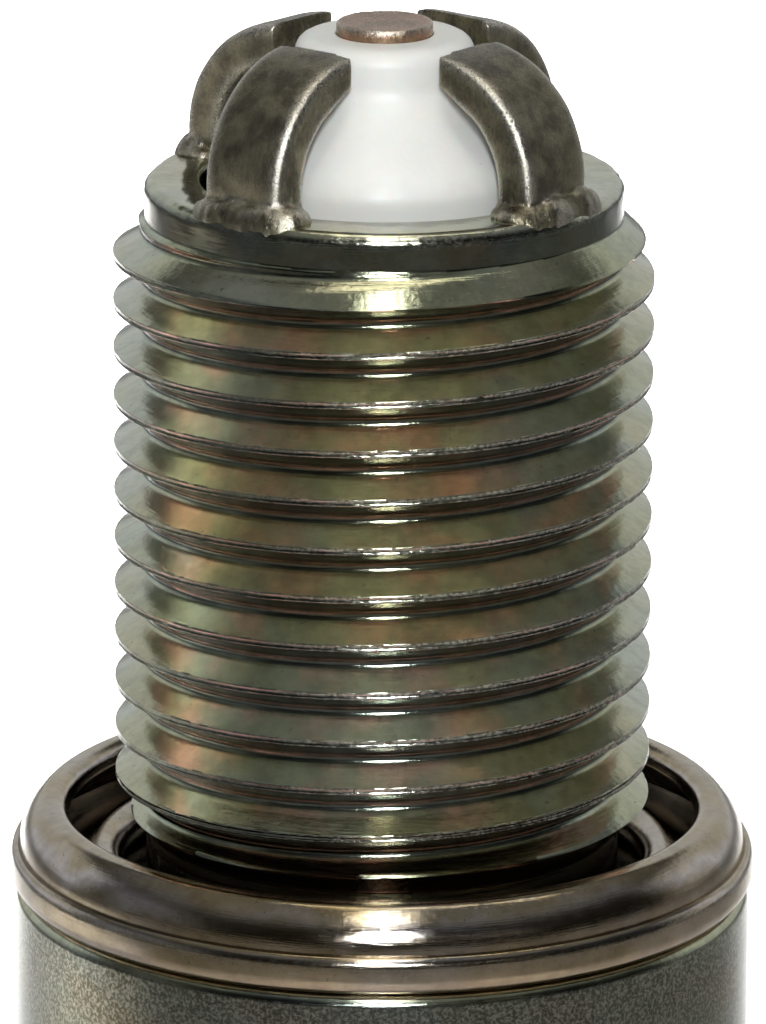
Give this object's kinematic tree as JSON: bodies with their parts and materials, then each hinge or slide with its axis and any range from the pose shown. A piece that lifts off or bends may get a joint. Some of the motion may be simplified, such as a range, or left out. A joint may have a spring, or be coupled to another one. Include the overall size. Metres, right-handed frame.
{
  "type": "spark plug",
  "caption": "Spark plug with a rolled thread, folded-sheet gasket, hexagon, ribbed insulator, screw-on terminal nut and arched ground electrodes round a central electrode.",
  "frame": {"origin": "on the axis, in the plane of the shell's gasket seat", "axes": "+Z along the axis towards the firing end, -Z towards the terminal; the first ground electrode lies in the +X -Y quarter"},
  "size_m": [0.0192, 0.0192, 0.0732],
  "materials": {
    "plated_steel": "zinc plated with a yellow-green chromate tint",
    "gasket_steel": "zinc plated sheet steel",
    "ground_electrode_nickel": "dull nickel alloy",
    "glazed_ceramic": "glazed alumina",
    "centre_electrode_nickel": "nickel alloy, brown from heat",
    "copper": "copper",
    "conductive_glass": "fused copper-glass powder",
    "resistor_compound": "carbon and glass compound",
    "stud_steel": "nickel plated steel",
    "nut_steel": "nickel plated steel",
    "soft_steel": "soft steel",
    "pressed_talc": "pressed talc powder"
  },
  "bodies": {
    "plug": {"shell": "plated_steel", "ground_electrode_1": "ground_electrode_nickel", "ground_electrode_2": "ground_electrode_nickel", "ground_electrode_3": "ground_electrode_nickel", "ground_electrode_4": "ground_electrode_nickel", "insulator": "glazed_ceramic", "centre_electrode": "centre_electrode_nickel", "centre_electrode_copper_core": "copper", "front_glass_seal": "conductive_glass", "resistor": "resistor_compound", "rear_glass_seal": "conductive_glass", "terminal_stud": "stud_steel", "insulator_seat_washer": "soft_steel", "lower_packing_ring": "soft_steel", "talc_ring": "pressed_talc", "upper_packing_ring": "soft_steel"},
    "gasket": {"gasket": "gasket_steel"},
    "terminal_nut": {"terminal_nut": "nut_steel"}
  },
  "joints": [
    {"name": "gasket_float", "type": "slide", "parent": "plug", "child": "gasket", "axis": [0, 0, 1], "range_m": [0, 0.0014]},
    {"name": "terminal_nut_unscrew", "type": "slide", "parent": "plug", "child": "terminal_nut", "axis": [0, 0, -1], "range_m": [0, 0.009]}
  ]
}
